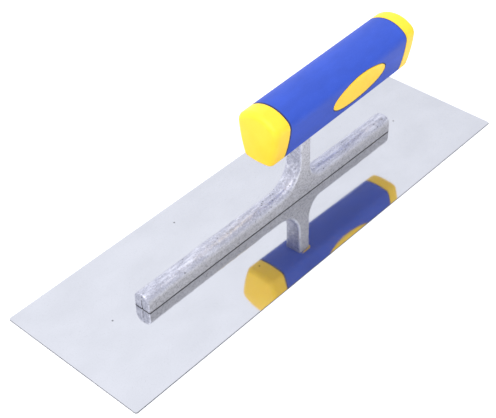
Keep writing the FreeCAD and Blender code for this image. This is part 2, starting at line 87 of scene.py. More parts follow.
def polished_spring_steel():
    """Mirror-polished spring steel: a cool grey mirror with long shallow waves left by rolling,
    hair-fine polishing lines, a thin film of pale dust that shows over dark reflections, and a
    few dark specks. The ground edges are rougher and scatter the light, and painted shade makes them darker."""
    material, tree, shader, place = start_material("mirror_polished_spring_steel")
    rolled = add_node(tree, "ShaderNodeMapping", {"Vector": place, "Scale": (1 / 2.5, 1, 1)})
    waves = add_node(tree, "ShaderNodeTexNoise", {"Vector": rolled, "Scale": 1 / (38 * MM), "Detail": 1})
    drawn = add_node(tree, "ShaderNodeMapping", {"Vector": place, "Scale": (1 / 60, 1, 1)})
    # polishing lines are 0.02 mm apart on the real sheet, drawn here 0.5 mm apart so that they show
    lines = add_node(tree, "ShaderNodeTexNoise", {"Vector": drawn, "Scale": 1 / (0.5 * MM), "Detail": 3})
    wiped = add_node(tree, "ShaderNodeMapping", {"Vector": place, "Scale": (1 / 1.5, 1, 1)})
    cloud = add_node(tree, "ShaderNodeTexNoise", {"Vector": wiped, "Scale": 1 / (22 * MM), "Detail": 3})
    # one dark speck, 1 mm wide, in each cell of 76 mm
    cells = add_node(tree, "ShaderNodeTexVoronoi", {"Vector": place, "Scale": 1 / (76 * MM)},
                     voronoi_dimensions="2D")
    speck = add_node(tree, "ShaderNodeMapRange", {
        "Value": cells, "From Min": 0.0055, "From Max": 0.009, "To Min": 0.8, "To Max": 0})
    # dust grains are 0.1 mm wide on the real blade, drawn 0.9 mm wide so that they show
    grains = add_node(tree, "ShaderNodeTexNoise", {
        "Vector": place, "Scale": 1 / (0.9 * MM), "Detail": 3, "Roughness": 0.6})
    film = add_node(tree, "ShaderNodeMapRange", {
        "Value": grains, "From Min": 0.58, "From Max": 0.72, "To Min": 0.965, "To Max": 0.86})
    # painted shade: faces that turn sideways, the ground edges, are painted dark grey as well as made rougher
    faces_up = add_node(tree, "ShaderNodeSeparateXYZ", {
        "Vector": add_node(tree, "ShaderNodeNewGeometry", out="Normal")}, "Z")
    faces_up = add_node(tree, "ShaderNodeMath", {0: faces_up}, operation="ABSOLUTE")
    edge = add_node(tree, "ShaderNodeMapRange", {
        "Value": faces_up, "From Min": 0.4, "From Max": 0.8, "To Min": 1, "To Max": 0})
    tone = add_node(tree, "ShaderNodeMapRange", {"Value": cloud, "From Min": 0.35, "From Max": 0.65})
    colour = add_node(tree, "ShaderNodeMix", {
        0: tone, 6: linear("#C6C7CA"), 7: linear("#CBCCCF")}, 2, data_type="RGBA")
    colour = add_node(tree, "ShaderNodeMix", {
        0: speck, 6: colour, 7: linear("#5E5D60")}, 2, data_type="RGBA")
    colour = add_node(tree, "ShaderNodeMix", {
        0: edge, 6: colour, 7: linear("#55565B")}, 2, data_type="RGBA")
    haze = add_node(tree, "ShaderNodeMapRange", {
        "Value": cloud, "From Min": 0.3, "From Max": 0.7, "To Min": 0.035, "To Max": 0.075})
    dulled = add_node(tree, "ShaderNodeMapRange", {"Value": edge, "To Max": 0.35})
    rough = add_node(tree, "ShaderNodeMath", {0: haze, 1: dulled})
    normal = add_node(tree, "ShaderNodeBump", {"Height": waves, "Strength": 1, "Distance": 0.06 * MM})
    normal = add_node(tree, "ShaderNodeBump", {
        "Height": lines, "Strength": 0.25, "Distance": 0.001 * MM, "Normal": normal})
    wire(tree, shader, base_color=colour, metallic=film, roughness=rough, normal=normal)
    return material


def finish_node(name, material):
    """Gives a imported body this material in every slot."""
    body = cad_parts[name]
    for at in range(len(body.material_slots)):
        body.material_slots[at].material = material


finish_node("blade", polished_spring_steel())


# ------------------------------------------------------------------ rivets
# Eight steel rivets hold the blade on its casting. Their countersunk heads are set flush and
# ground off together with the working face, so they show there as faint dull discs.
def ground_steel():
    """Surface-ground mild steel: parallel grinding lines along the blade over a grey, satin metal."""
    material, tree, shader, place = start_material("ground_mild_steel", metallic=1.0)
    drawn = add_node(tree, "ShaderNodeMapping", {"Vector": place, "Scale": (1 / 30, 1, 1)})
    # grinding lines are 0.05 mm apart on the real rivet, drawn 0.25 mm apart so that they show
    lines = add_node(tree, "ShaderNodeTexNoise", {"Vector": drawn, "Scale": 1 / (0.25 * MM)})
    tone = add_node(tree, "ShaderNodeMapRange", {"Value": lines, "From Min": 0.35, "From Max": 0.65})
    colour = add_node(tree, "ShaderNodeMix", {
        0: tone, 6: linear("#A6A7AB"), 7: linear("#C6C7CB")}, 2, data_type="RGBA")
    rough = add_node(tree, "ShaderNodeMapRange", {
        "Value": lines, "From Min": 0.3, "From Max": 0.7, "To Min": 0.22, "To Max": 0.4})
    normal = add_node(tree, "ShaderNodeBump", {"Height": lines, "Strength": 0.6, "Distance": 0.01 * MM})
    wire(tree, shader, base_color=colour, roughness=rough, normal=normal)
    return material


rivet_metal = ground_steel()
for rivet in [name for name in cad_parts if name.startswith("blade_rivet_")]:
    finish_node(rivet, rivet_metal)


# ------------------------------------------------------------------ casting
# The mounting is one aluminium casting, tumbled but not machined: a solid bar with a crowned
# top, and a flat-sided post that grows out of it in two hollow rounds and enters the handle.
BAR_FRONT, BAR_REAR, FOOT_Z, BAR_TOP = -107.0, 111.7, 0.7, 11.7
HALF_THICK, BAR_ROUND, POST_ROUND = 5.9, 5.0, 1.5
POST_FRONT, POST_REAR, POST_MIDDLE, POST_TOP = 20.9, 30.7, 25.8, 51.2
WEB_FRONT, WEB_REAR = 18.0, 11.0
FRONT_RIM, REAR_RIM = 0.9, 3.0
SIDE_STEPS, CORNER_STEPS, TOP_STEPS = 9, 12, 6
FOOT_FADE, CREST_WIDTH = 1.5, 0.5
# how far the skin lies inside the true form, its waves, and the crest along the bar's shoulders
SKIN_SINK, LONG_WAVE, SHORT_WAVE, SHOULDER_CREST = 0.14, 0.09, 0.05, 0.12
# the same for the front end, and the parting line on it
END_SINK, END_WAVE = 0.1, 0.06
SEAM_DEPTH, SEAM_HALF_WIDTH, SEAM_SWAY, SEAM_TOP = 0.5, 0.34, 0.35, 8.2
SHARP_ANGLE, WELD_DISTANCE, SLIVER_LENGTH = 40.0, 0.004, 0.002


def casting_rows():
    """Stations along the casting's upper outline, from the front end to the rear one.

    Each row is (x, z) on the outline, the unit direction into the metal, the edge radius there,
    and the foot (x, z) that the flat side runs down to: the blade under the bar and the rounds,
    the post's middle line under the post. Straight runs are linear and the rounds are quarter
    circles; the edge radius eases from the bar's to the post's along each round.
    """
    def rows(x, z, into_x, into_z, radius, foot_x, foot_z):
        return np.stack(np.broadcast_arrays(x, z, into_x, into_z, radius, foot_x, foot_z), 1)

    def ease(t):
        return t * t * (3 - 2 * t)

    t, up = np.linspace(0, 1, 26), np.linspace(0, 1, 24)
    front_x = np.linspace(BAR_FRONT + FRONT_RIM, POST_FRONT - WEB_FRONT, 108)[:-1]
    rear_x = np.linspace(POST_REAR + WEB_REAR, BAR_REAR - REAR_RIM, 68)[1:]
    a, b = np.radians(-90 + 90 * t), np.radians(180 + 90 * t)
    step = BAR_ROUND - POST_ROUND
    return np.concatenate([
        rows(front_x, BAR_TOP, 0, -1, BAR_ROUND, front_x, FOOT_Z),
        rows(POST_FRONT - WEB_FRONT + WEB_FRONT * np.cos(a), BAR_TOP + WEB_FRONT + WEB_FRONT * np.sin(a),
             np.cos(a), np.sin(a), BAR_ROUND - step * ease(t),
             POST_FRONT - WEB_FRONT + (POST_MIDDLE - POST_FRONT + WEB_FRONT) * t, FOOT_Z),
        rows(POST_FRONT, BAR_TOP + WEB_FRONT + (POST_TOP - BAR_TOP - WEB_FRONT) * up, 1, 0, POST_ROUND,
             POST_MIDDLE, FOOT_Z + (POST_TOP - FOOT_Z) * up)[1:],
        rows(POST_REAR, POST_TOP - (POST_TOP - BAR_TOP - WEB_REAR) * up, -1, 0, POST_ROUND,
             POST_MIDDLE, POST_TOP - (POST_TOP - FOOT_Z) * up)[:-1],
        rows(POST_REAR + WEB_REAR + WEB_REAR * np.cos(b), BAR_TOP + WEB_REAR + WEB_REAR * np.sin(b),
             np.cos(b), np.sin(b), POST_ROUND + step * ease(t),
             POST_MIDDLE + (POST_REAR + WEB_REAR - POST_MIDDLE) * t, FOOT_Z),
        rows(rear_x, BAR_TOP, 0, -1, BAR_ROUND, rear_x, FOOT_Z),
    ])


def casting_skin(rows):
    """Points across each row: up one flat side, round the edge, over the top and down the other side.

    On the edge, the point at angle q stands r(1 - sin q) into the metal and r(1 - cos q) in from
    the side face, with r the row's edge radius. The result is a grid, rows by columns by XYZ.
    """
    x, z, into_x, into_z, r, foot_x, foot_z = rows.T[:, :, None]
    climb = np.linspace(0, 1, SIDE_STEPS + 1)[None, :-1]
    q = np.radians(np.linspace(0, 90, CORNER_STEPS + 1))[None, :]
    over = np.linspace(-1, 1, TOP_STEPS + 1)[None, 1:-1]
    side = (foot_x + (x + into_x * r - foot_x) * climb, -HALF_THICK + 0 * r * climb,
            foot_z + (z + into_z * r - foot_z) * climb)
    depth = r * (1 - np.sin(q))
    edge = (x + into_x * depth, -HALF_THICK + r * (1 - np.cos(q)), z + into_z * depth)
    top = (x + 0 * over, (HALF_THICK - r) * over, z + 0 * over)
    mirror = [np.stack((p[0], -p[1], p[2]), -1)[:, ::-1] for p in (side, edge)]
    left = [np.stack(p, -1) for p in (side, edge)]
    return np.concatenate(left + [np.stack(top, -1), mirror[1], mirror[0]], 1)


def bar_end(at, rim, inwards):
    """Rings that close one end of the bar: its arched section, drawn in by d.

    Over the rim, d = rim(1 - cos q) while x moves out by rim sin q; after that the end is flat and
    d grows until the section is a line. inwards is +1 at the front end and -1 at the rear one.
    """
    q = np.radians(np.linspace(10, 90, 9))
    flat = rim + (HALF_THICK - rim) * np.linspace(0, 1, 40)[1:] ** 0.8
    d = np.concatenate([rim * (1 - np.cos(q)), flat])
    x = np.concatenate([at + inwards * rim * (1 - np.sin(q)), np.full(len(flat), at)])
    r = np.maximum(BAR_ROUND - d, 0.0)
    skin = casting_skin(np.stack([x, BAR_TOP - d, 0 * d, -1 + 0 * d, r, x, FOOT_Z + 0 * d], 1))
    # casting_skin gives the full width: move its edges in by d and squeeze its top to fit between them
    half, r = (HALF_THICK - d)[:, None], r[:, None]
    y = skin[..., 1]
    from_side = HALF_THICK - np.abs(y)
    squeezed = y * ((half - r) / np.maximum(HALF_THICK - r, 1e-9))
    skin[..., 1] = np.clip(np.where(from_side <= r + 1e-9, np.sign(y) * (half - from_side), squeezed), -half, half)
    return skin


def ripple(points, size, seed, count=14):
    """Smooth unevenness from -1 to 1: a sum of count sine waves of random direction, about size mm long."""
    draw = np.random.default_rng(seed)
    waves = draw.normal(size=(count, 3)) * (2 * math.pi / size) * 0.6
    phase = draw.uniform(0, 2 * math.pi, count)
    return np.sin(points @ waves.T + phase).sum(-1) / math.sqrt(count)


def make_piece(name, vertices, faces, material, slot, *stands_for, joint=None):
    """Adds a mesh object to the frame, from points in mm; doubles are merged and faces turned outwards.

    joint holds 1 for points in a parting line or in the groove where two mouldings meet, and 0 elsewhere; the
    materials paint shade by it.
    """
    mesh = bpy.data.meshes.new(name)
    mesh.from_pydata((np.asarray(vertices) * MM).tolist(), [], faces)
    if joint is not None:
        mesh.attributes.new("joint", "FLOAT", "POINT").data.foreach_set("value", np.asarray(joint, np.float32))
    shape = bmesh.new()
    shape.from_mesh(mesh)
    bmesh.ops.remove_doubles(shape, verts=shape.verts, dist=WELD_DISTANCE * MM)
    bmesh.ops.dissolve_degenerate(shape, edges=shape.edges, dist=SLIVER_LENGTH * MM)
    bmesh.ops.recalc_face_normals(shape, faces=shape.faces)
    shape.to_mesh(mesh)
    shape.free()
    mesh.shade_smooth()
    mesh.set_sharp_from_angle(angle=math.radians(SHARP_ANGLE))
    mesh.materials.append(material)
    piece = bpy.data.objects.new(name, mesh)
    bpy.context.scene.collection.objects.link(piece)
    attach(piece, "root")
    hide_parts(*stands_for)


def grid_faces(rows, columns, closed=False, start=0):
    """Quads between neighbouring rows and columns of a grid whose first vertex has the number start."""
    r, c = np.meshgrid(np.arange(rows - 1), np.arange(columns if closed else columns - 1), indexing="ij")
    r, c = r.ravel(), c.ravel()
    right = (c + 1) % columns
    return (start + np.stack([r * columns + c, r * columns + right, (r + 1) * columns + right,
                              (r + 1) * columns + c], 1)).tolist()


def casting_mesh():
    """The whole casting: its grid, an uneven skin, a parting line on the front end, and the underside.

    The skin is sunk and rippled everywhere but along its foot, and each shoulder of the bar keeps a
    slight crest. The parting line is a bell-shaped groove along y = sway times sin((z - 2) / 2.4),
    and painted shade covers the deeper part of the groove.
    """
    skin = np.concatenate([
        bar_end(BAR_FRONT, FRONT_RIM, 1)[::-1], casting_skin(casting_rows()), bar_end(BAR_REAR, REAR_RIM, -1)])
    flat = skin.reshape(-1, 3)
    x, y, z = flat.T
    moved = flat.copy()
    uneven = LONG_WAVE * ripple(flat, size=9, seed=3) + SHORT_WAVE * ripple(flat, size=3.5, seed=5) - SKIN_SINK
    on_bar = (x < POST_FRONT - WEB_FRONT) | (x > POST_REAR + WEB_REAR)
    shoulder_z = BAR_TOP - BAR_ROUND

    clear_of_foot = np.clip((z - FOOT_Z) / FOOT_FADE, 0, 1)
    crest = np.exp(-((z - shoulder_z) / CREST_WIDTH) ** 2) * (np.abs(y) > HALF_THICK - 0.6)
    sideways = np.abs(y) / HALF_THICK
    push = clear_of_foot * (uneven + SHOULDER_CREST * crest * on_bar) * sideways
    moved[:, 1] = np.sign(y) * np.clip(np.abs(y) + push, 0, HALF_THICK)

    on_crown = on_bar & (z > shoulder_z)
    moved[:, 2] += np.where(on_crown, (z - shoulder_z) / BAR_ROUND, 0) * uneven * 0.8
    on_post = (~on_bar) & (z > BAR_TOP) & (sideways < 0.95)
    moved[:, 0] += np.where(on_post, -np.sign(POST_MIDDLE - x) * uneven * 0.5, 0)

    on_front = x < BAR_FRONT + 0.05
    seam_y = SEAM_SWAY * np.sin((z - 2.0) / 2.4)
    groove = np.exp(-((y - seam_y) / SEAM_HALF_WIDTH) ** 2) * np.clip((SEAM_TOP - z) / 1.2, 0, 1) * on_front
    end_wave = END_WAVE * ripple(flat, size=2.5, seed=8)
    moved[:, 0] += np.where(on_front, END_SINK + SEAM_DEPTH * groove + end_wave, 0)

    # the underside joins the two feet of each pair of rows that stand on the blade
    columns = skin.shape[1]
    foot = np.arange(skin.shape[0]) * columns
    low = flat[foot, 2] < FOOT_Z + 0.01
    pairs = np.flatnonzero(low[:-1] & low[1:])
    underside = [foot[pairs], foot[pairs + 1], foot[pairs + 1] + columns - 1, foot[pairs] + columns - 1]
    faces = grid_faces(skin.shape[0], columns) + np.stack(underside, 1).tolist()
    # the last array is the painted shade for the parting line's groove, kept as the joint attribute
    return moved, faces, np.clip(1.3 * groove - 0.2, 0, 1)


def cast_aluminium():
    """Tumbled aluminium casting. The flat sides keep the mould's even grey and its sandy grain; the
    crown, the ends and the edges are burnished paler by tumbling, with soft flow marks and a few
    dark gas holes. A painted highlight runs along the rim where the rounded edges leave the flat
    sides, painted shade draws a dark line along the foot, and painted shade fills the parting line."""
    material, tree, shader, place = start_material("tumbled_cast_aluminium", metallic=0.85)
    bare = add_node(tree, "ShaderNodeNewGeometry", out="Normal")
    sideways = add_node(tree, "ShaderNodeSeparateXYZ", {"Vector": bare}, "Y")
    sideways = add_node(tree, "ShaderNodeMath", {0: sideways}, operation="ABSOLUTE")
    worn = add_node(tree, "ShaderNodeMapRange", {
        "Value": sideways, "From Min": 0.82, "From Max": 0.985, "To Min": 1, "To Max": 0})

    # a painted highlight: a bright rim painted where the rounded edge leaves the flat side, strongest on the rounds
    # and the post
    height = add_node(tree, "ShaderNodeSeparateXYZ", {"Vector": place}, "Z")
    upper = add_node(tree, "ShaderNodeMapRange", {
        "Value": height, "From Min": 12 * MM, "From Max": 16 * MM, "To Min": 0.25})
    inner = add_node(tree, "ShaderNodeMapRange", {"Value": sideways, "From Min": 0.7, "From Max": 0.86})
    outer = add_node(tree, "ShaderNodeMapRange", {
        "Value": sideways, "From Min": 0.93, "From Max": 0.99, "To Min": 1, "To Max": 0})
    rim = add_node(tree, "ShaderNodeMath", {0: inner, 1: outer}, operation="MULTIPLY")
    rim = add_node(tree, "ShaderNodeMath", {0: rim, 1: upper}, operation="MULTIPLY")
    rim = add_node(tree, "ShaderNodeMapRange", {"Value": rim, "To Max": 0.6})

    long = add_node(tree, "ShaderNodeMapping", {"Vector": place, "Scale": (1 / 5, 1, 1)})
    flow = add_node(tree, "ShaderNodeTexNoise", {
        "Vector": long, "Scale": 1 / (2.2 * MM), "Detail": 4, "Roughness": 0.55})
    # the sand-like grain is 0.15 mm on the real casting, drawn at 0.9 mm so that it shows
    sand = add_node(tree, "ShaderNodeMapping", {"Vector": place, "Scale": (1 / 1.2, 1, 1)})
    grain = add_node(tree, "ShaderNodeTexNoise", {
        "Vector": sand, "Scale": 1 / (0.9 * MM), "Detail": 3, "Roughness": 0.75})
    # gas holes 0.6 to 1 mm wide, one in each cell of 3.2 mm that the skin happens to cut
    cells = add_node(tree, "ShaderNodeTexVoronoi", {"Vector": place, "Scale": 1 / (3.2 * MM)})
    holes = add_node(tree, "ShaderNodeMapRange", {
        "Value": cells, "From Min": 0.09, "From Max": 0.16, "To Min": 1, "To Max": 0})
    bared = add_node(tree, "ShaderNodeMapRange", {"Value": worn, "To Min": 0.15})
    holes = add_node(tree, "ShaderNodeMath", {0: holes, 1: bared}, operation="MULTIPLY")

    dark_grain = add_node(tree, "ShaderNodeMapRange", {
        "Value": grain, "From Min": 0.3, "From Max": 0.5, "To Min": 0.6, "To Max": 0})
    pale_grain = add_node(tree, "ShaderNodeMapRange", {
        "Value": grain, "From Min": 0.54, "From Max": 0.72, "To Max": 0.6})
    pale_flow = add_node(tree, "ShaderNodeMapRange", {
        "Value": flow, "From Min": 0.48, "From Max": 0.7, "To Max": 0.5})
    pale_flow = add_node(tree, "ShaderNodeMath", {0: pale_flow, 1: worn}, operation="MULTIPLY")
    dark_flow = add_node(tree, "ShaderNodeMapRange", {
        "Value": flow, "From Min": 0.3, "From Max": 0.44, "To Min": 0.4, "To Max": 0})
    dark_flow = add_node(tree, "ShaderNodeMath", {0: dark_flow, 1: worn}, operation="MULTIPLY")
    shade = add_node(tree, "ShaderNodeMapRange", {"Value": holes, "To Max": 0.8})
    # painted shade: a near-black line along the foot, where the bar stands on the blade
    foot = add_node(tree, "ShaderNodeMapRange", {
        "Value": height, "From Min": (FOOT_Z + 0.25) * MM, "From Max": (FOOT_Z + 0.7) * MM,
        "To Min": 1, "To Max": 0})
    # painted shade in the parting line's groove, read from the joint attribute
    seam = add_node(tree, "ShaderNodeAttribute", out="Fac", attribute_name="joint")
    foot_and_seam_shade = add_node(tree, "ShaderNodeMath", {0: foot, 1: seam}, operation="MAXIMUM")
    foot_and_seam_shade = add_node(tree, "ShaderNodeMapRange", {"Value": foot_and_seam_shade, "To Max": 0.95})
    colour = add_node(tree, "ShaderNodeMix", {
        0: worn, 6: linear("#D0CFD1"), 7: linear("#B9BAC6")}, 2, data_type="RGBA")
    # the mixes lay on grain, flow marks, a painted highlight on the rim, the dark gas holes, and painted shade at
    # the foot and in the parting line
    for amount, tint in ((dark_grain, "#6F6E72"), (pale_grain, "#F4F4F8"), (pale_flow, "#F0F1F6"),
                         (dark_flow, "#8C8D95"), (rim, "#F6F7FA"), (shade, "#45464A"), (foot_and_seam_shade, "#1E1E20")):
        colour = add_node(tree, "ShaderNodeMix", {
            0: amount, 6: colour, 7: linear(tint)}, 2, data_type="RGBA")

    rough = add_node(tree, "ShaderNodeMapRange", {"Value": worn, "To Min": 0.6, "To Max": 0.46})
    solid = add_node(tree, "ShaderNodeMapRange", {"Value": holes, "To Min": 1, "To Max": 0})
    relief = add_node(tree, "ShaderNodeMapRange", {"Value": worn, "To Min": 0.2})
    normal = bare
    for level, depth in ((flow, 0.2), (grain, 0.07), (solid, 0.2)):
        normal = add_node(tree, "ShaderNodeBump", {
            "Height": level, "Strength": relief, "Distance": depth * MM, "Normal": normal})
    wire(tree, shader, base_color=colour, roughness=rough, normal=normal)
    return material


casting_points, casting_faces, casting_seam_shade = casting_mesh()
make_piece("casting", casting_points, casting_faces, cast_aluminium(), "cast_aluminium", "mounting_casting",
           joint=casting_seam_shade)

# ------------------------------------------------------------------ grip
# The grip is a sleeve of soft thermoplastic rubber moulded over a hard core. It is 3 mm thick,
# has an oval window on each side, and butts against the end caps with a fine rounded lip.
GRIP_FRONT, GRIP_REAR = 0.5, 109.4
HANDLE_FRONT, HANDLE_REAR = -12.3, 120.2
# the handle's half width, and the heights of its shoulders and its underside, at five stations
STATION_X = (-12.3, 0.5, 55.0, 109.4, 120.2)
HALF_WIDTHS = (15.1, 15.3, 15.5, 14.7, 14.5)
SHOULDER_ZS = (68.8, 69.1, 70.9, 74.0, 74.5)
UNDERSIDE_ZS = (44.6, 45.3, 47.4, 48.3, 48.4)
# radii of its shoulder and lower corner arcs, the corner's centre, the side's bulge, the arcs' ends
SHOULDER, CORNER, CORNER_IN, CORNER_UP, BULGE = 6.3, 4.2, 8.2, 4.6, 0.6
SHOULDER_END, SHOULDER_START, CORNER_END, CORNER_START = np.radians([38.0, 7.0, 22.0, 10.0])
SKIN_GAP, GROOVE, GROOVE_FADE = 0.08, 0.6, 0.4


def handle_laws(x):
    """Half width, shoulder height and underside height at x, by second-degree fits to the stations."""
    return [np.polyval(np.polyfit(STATION_X, values, 2), x) for values in (HALF_WIDTHS, SHOULDER_ZS, UNDERSIDE_ZS)]


def section_corners(x, inset):
    """Centres, radii and joints of the section's arcs at x, drawn in by inset.

    The lower corner turns about its centre k from joint a to joint b, and the shoulder about s from
    c to d. Each joint is its centre plus the radius along the joint's angle.
    """
    half_width, shoulder_z, underside = handle_laws(x)
    corner, shoulder = CORNER - inset, SHOULDER - inset
    k = (half_width - CORNER_IN, underside + CORNER_UP)
    s = (half_width - SHOULDER, shoulder_z)
    return SimpleNamespace(
        corner=corner, shoulder=shoulder, k=k, s=s,
        a=(k[0] + corner * np.sin(CORNER_START), k[1] - corner * np.cos(CORNER_START)),
        b=(k[0] + corner * np.cos(CORNER_END), k[1] - corner * np.sin(CORNER_END)),
        c=(s[0] + shoulder * np.cos(SHOULDER_START), s[1] - shoulder * np.sin(SHOULDER_START)),
        d=(s[0] + shoulder * np.sin(SHOULDER_END), s[1] + shoulder * np.cos(SHOULDER_END)))


def side_reach(x, z, inset):
    """How far the handle's side stands out from the middle plane at (x, z).

    Below joint b it is the corner circle, above joint c the shoulder circle, and between them the
    flat arc whose height over the chord bc is the bulge.
    """
    arcs = section_corners(x, inset)
    corner = arcs.k[0] + np.sqrt(np.maximum(arcs.corner ** 2 - (z - arcs.k[1]) ** 2, 0))
    shoulder = arcs.s[0] + np.sqrt(np.maximum(arcs.shoulder ** 2 - (z - arcs.s[1]) ** 2, 0))
    run, rise = arcs.c[0] - arcs.b[0], arcs.c[1] - arcs.b[1]
    chord = np.hypot(run, rise)
    radius = chord ** 2 / (8 * BULGE) + BULGE / 2
    back = radius - BULGE
    centre_y = (arcs.b[0] + arcs.c[0]) / 2 - back * rise / chord
    centre_z = (arcs.b[1] + arcs.c[1]) / 2 + back * run / chord
    side = centre_y + np.sqrt(np.maximum(radius ** 2 - (z - centre_z) ** 2, 0))
    return np.where(z < arcs.b[1], corner, np.where(z > arcs.c[1], shoulder, side))


def side_height(x, share, inset):
    """Height on the side at a share from 0 at joint a to 1 at joint d."""
    arcs = section_corners(x, inset)
    return arcs.a[1] + (arcs.d[1] - arcs.a[1]) * share


# shares crowd towards both joints, as 0.5 - 0.5 cos does between 7 and 93 percent of its half turn
SIDE_SHARES = 0.5 - 0.5 * np.cos(np.pi * np.linspace(0.07, 0.93, 41))
SIDE_SHARES = (SIDE_SHARES - SIDE_SHARES[0]) / (SIDE_SHARES[-1] - SIDE_SHARES[0])
FLOOR_STEPS, CROWN_STEPS = 16, 36


def arc_between(half, height, bulge_sign, radius, steps):
    """A symmetric arc over the middle plane from +half to -half that bulges up (+1) or down (-1)."""
    reach = np.arcsin(np.clip(half / radius, -1, 1))
    angle = reach[:, None] * np.linspace(1, -1, steps + 1)[None, :]
    y = radius[:, None] * np.sin(angle)
    rise = radius[:, None] * (np.cos(angle) - np.cos(reach)[:, None])
    return y, height[:, None] + bulge_sign * rise


def handle_rings(x, inset):
    """Closed rings round the handle, one per x: up the right side, over the crown, down the left
    side and back along the floor. The sides follow side_reach, the crown and floor are single arcs."""
    x = np.asarray(x, float)
    inset = np.broadcast_to(np.asarray(inset, float), x.shape)
    (low_y, low_z), (high_y, high_z) = section_corners(x, inset).a, section_corners(x, inset).d
    side_z = side_height(x[:, None], SIDE_SHARES[None, :], inset[:, None])
    side_y = side_reach(x[:, None], side_z, inset[:, None])
    side_y[:, 0], side_y[:, -1] = low_y, high_y
    crown_y, crown_z = arc_between(high_y, high_z, 1, high_y / np.sin(SHOULDER_END), CROWN_STEPS)
    floor_y, floor_z = arc_between(low_y, low_z, -1, low_y / np.sin(CORNER_START), FLOOR_STEPS)
    y = np.concatenate([-side_y, -crown_y[:, 1:-1], side_y[:, ::-1], floor_y[:, 1:-1]], 1)
    z = np.concatenate([side_z, crown_z[:, 1:-1], side_z[:, ::-1], floor_z[:, 1:-1]], 1)
    return np.stack([np.broadcast_to(x[:, None], y.shape), y, z], -1)


def shrink(ring, shares, pushes):
    """Copies of one ring drawn towards its middle by shares and moved along X by pushes."""
    middle = np.array([ring[:, 0].mean(), 0.0, (ring[:, 2].min() + ring[:, 2].max()) / 2])
    copies = middle + (ring - middle)[None] * np.asarray(shares)[:, None, None]
    copies[..., 0] += np.asarray(pushes)[:, None]
    return copies


# The window's outline on the side: fuller towards the front, and climbing towards the rear.
PAD_X, PAD_Z, PAD_LONG, PAD_HIGH, PAD_TILT, PAD_EGG = 64.6, 63.6, 24.6, 9.4, math.radians(3.8), 0.035
LIP_ROUND, WINDOW_DEPTH = 0.45, 1.6
WINDOW_FROM, WINDOW_TO, WINDOW_STEPS = 37.0, 98.0, 122


def pad_outline(t, grow=0.0):
    """Points of the oval at angle t: (long cos t, high sin t (1 - egg cos t)), turned by the tilt."""
    along = (PAD_LONG + grow) * np.cos(t)
    across = (PAD_HIGH + grow) * np.sin(t) * (1 - PAD_EGG * np.cos(t))
    return (PAD_X + along * math.cos(PAD_TILT) - across * math.sin(PAD_TILT),
            PAD_Z + along * math.sin(PAD_TILT) + across * math.cos(PAD_TILT))


def window_mesh(side):
    """One side of the grip around its window, as rings from a rectangle of the side in to the oval.

    The rings run straight in (x, z) from the rectangle to the oval, crowding towards it, and then
    over a rounded lip and down the window's wall to a floor that closes under the pad.
    """
    x = np.linspace(WINDOW_FROM, WINDOW_TO, WINDOW_STEPS + 1)
    ends = side_height(np.array([WINDOW_FROM, WINDOW_TO])[:, None], SIDE_SHARES[None, 1:-1], SKIN_GAP)
    low, high = side_height(x, 0.0, SKIN_GAP), side_height(x, 1.0, SKIN_GAP)
    edge_x = np.concatenate([x, np.full(len(SIDE_SHARES) - 2, WINDOW_TO), x[::-1],
                             np.full(len(SIDE_SHARES) - 2, WINDOW_FROM)])
    edge_z = np.concatenate([low, ends[1], high[::-1], ends[0][::-1]])
    above_axis = edge_z - PAD_Z - (edge_x - PAD_X) * math.tan(PAD_TILT)
    t = np.arctan2(above_axis / PAD_HIGH, (edge_x - PAD_X) / PAD_LONG)
    oval_x, oval_z = pad_outline(t, LIP_ROUND)
    share = 1 - (1 - np.linspace(0, 1, 13)) ** 1.7
    ring_x = edge_x + (oval_x - edge_x) * share[:, None]
    ring_z = edge_z + (oval_z - edge_z) * share[:, None]
    reach = side_reach(ring_x, ring_z, SKIN_GAP)
    arcs, upper_edge = section_corners(x, SKIN_GAP), len(x) + len(SIDE_SHARES) - 2
    reach[0, :len(x)], reach[0, upper_edge:upper_edge + len(x)] = arcs.a[0], arcs.d[0][::-1]
    rings = [np.stack([ring_x, side * reach, ring_z], -1)]
    q = np.radians(np.linspace(15, 90, 6))
    for grow, depth in [*zip(LIP_ROUND * (1 - np.sin(q)), LIP_ROUND * (1 - np.cos(q))), (0.0, WINDOW_DEPTH)]:
        lip_x, lip_z = pad_outline(t, grow)
        rings.append(np.stack([lip_x, side * (side_reach(lip_x, lip_z, SKIN_GAP) - depth), lip_z], -1)[None])
    for part in (0.66, 0.33, 0.0):
        floor_x, floor_z = PAD_X + (lip_x - PAD_X) * part, PAD_Z + (lip_z - PAD_Z) * part
        rings.append(np.stack([floor_x, side * (side_reach(floor_x, floor_z, SKIN_GAP) - WINDOW_DEPTH),
                               floor_z], -1)[None])
    grid = np.concatenate(rings)
    # painted shade on the window's lip, wall and floor: every ring from the oval inwards
    in_groove = np.repeat(np.arange(len(grid)) >= len(share) - 1, grid.shape[1])
    return grid.reshape(-1, 3), grid.shape[0], grid.shape[1], in_groove


